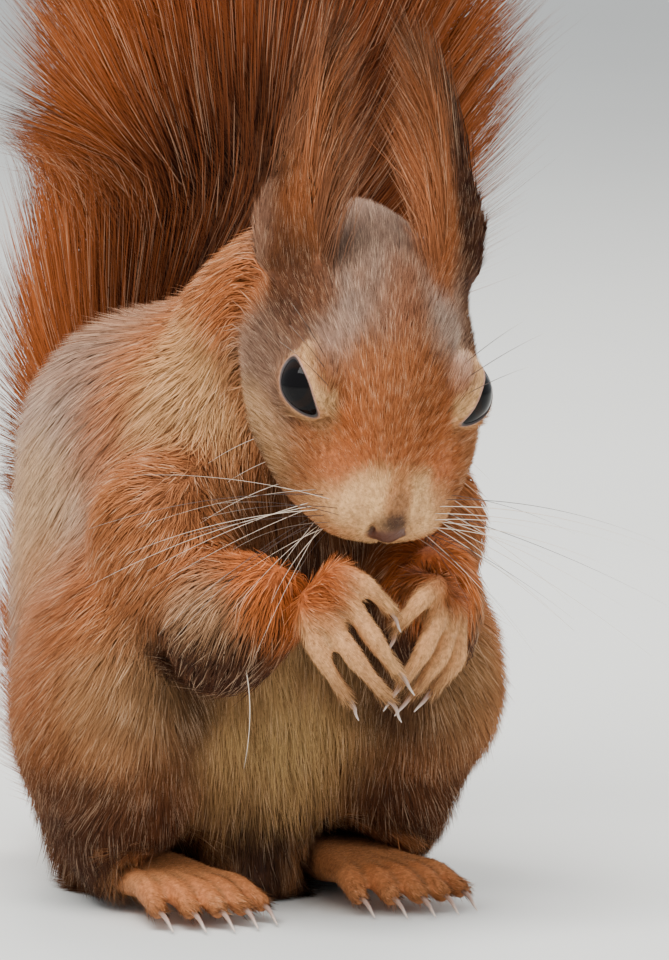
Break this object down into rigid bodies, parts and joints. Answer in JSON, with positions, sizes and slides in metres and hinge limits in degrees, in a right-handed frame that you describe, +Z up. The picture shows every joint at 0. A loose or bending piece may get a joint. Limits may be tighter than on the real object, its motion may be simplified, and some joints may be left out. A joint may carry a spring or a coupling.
{
  "type": "red squirrel",
  "caption": "Life-size still model of a red squirrel sitting up on its haunches, hands held together, bushy tail raised behind its back.",
  "frame": {"origin": "middle of the underside's bounding box, on the floor that the animal rests on", "axes": "+Z up and the longest way, from the floor to the top of the tail; -Y the way that the animal faces; +X to its left"},
  "size_m": [0.109, 0.1344, 0.1843],
  "materials": {
    "coat_rufous": "soft dense fur, rufous red-brown with grizzled grey-brown on the head and back",
    "coat_pale": "short pale cream fur",
    "skin": "bare brown-pink skin, slightly moist",
    "eye": "wet near-black eye",
    "claw": "translucent pale horn"
  },
  "bodies": {
    "root": {"head": "coat_rufous", "nose": "skin", "neck": "coat_rufous", "eye_right": "eye", "ear_right": "coat_rufous", "upper_arm_right": "coat_rufous", "forearm_right": "coat_rufous", "hand_right": "coat_pale", "hand_claw_right_1": "claw", "hand_claw_right_2": "claw", "hand_claw_right_3": "claw", "hand_claw_right_4": "claw", "thigh_right": "coat_rufous", "shank_right": "coat_rufous", "foot_right": "coat_rufous", "foot_claw_right_1": "claw", "foot_claw_right_2": "claw", "foot_claw_right_3": "claw", "foot_claw_right_4": "claw", "foot_claw_right_5": "claw", "eye_left": "eye", "ear_left": "coat_rufous", "upper_arm_left": "coat_rufous", "forearm_left": "coat_rufous", "hand_left": "coat_pale", "hand_claw_left_1": "claw", "hand_claw_left_2": "claw", "hand_claw_left_3": "claw", "hand_claw_left_4": "claw", "thigh_left": "coat_rufous", "shank_left": "coat_rufous", "foot_left": "coat_rufous", "foot_claw_left_1": "claw", "foot_claw_left_2": "claw", "foot_claw_left_3": "claw", "foot_claw_left_4": "claw", "foot_claw_left_5": "claw", "trunk": "coat_rufous", "tail_1": "coat_rufous", "tail_2": "coat_rufous", "tail_3": "coat_rufous", "tail_4": "coat_rufous", "tail_5": "coat_rufous"}
  },
  "joints": []
}
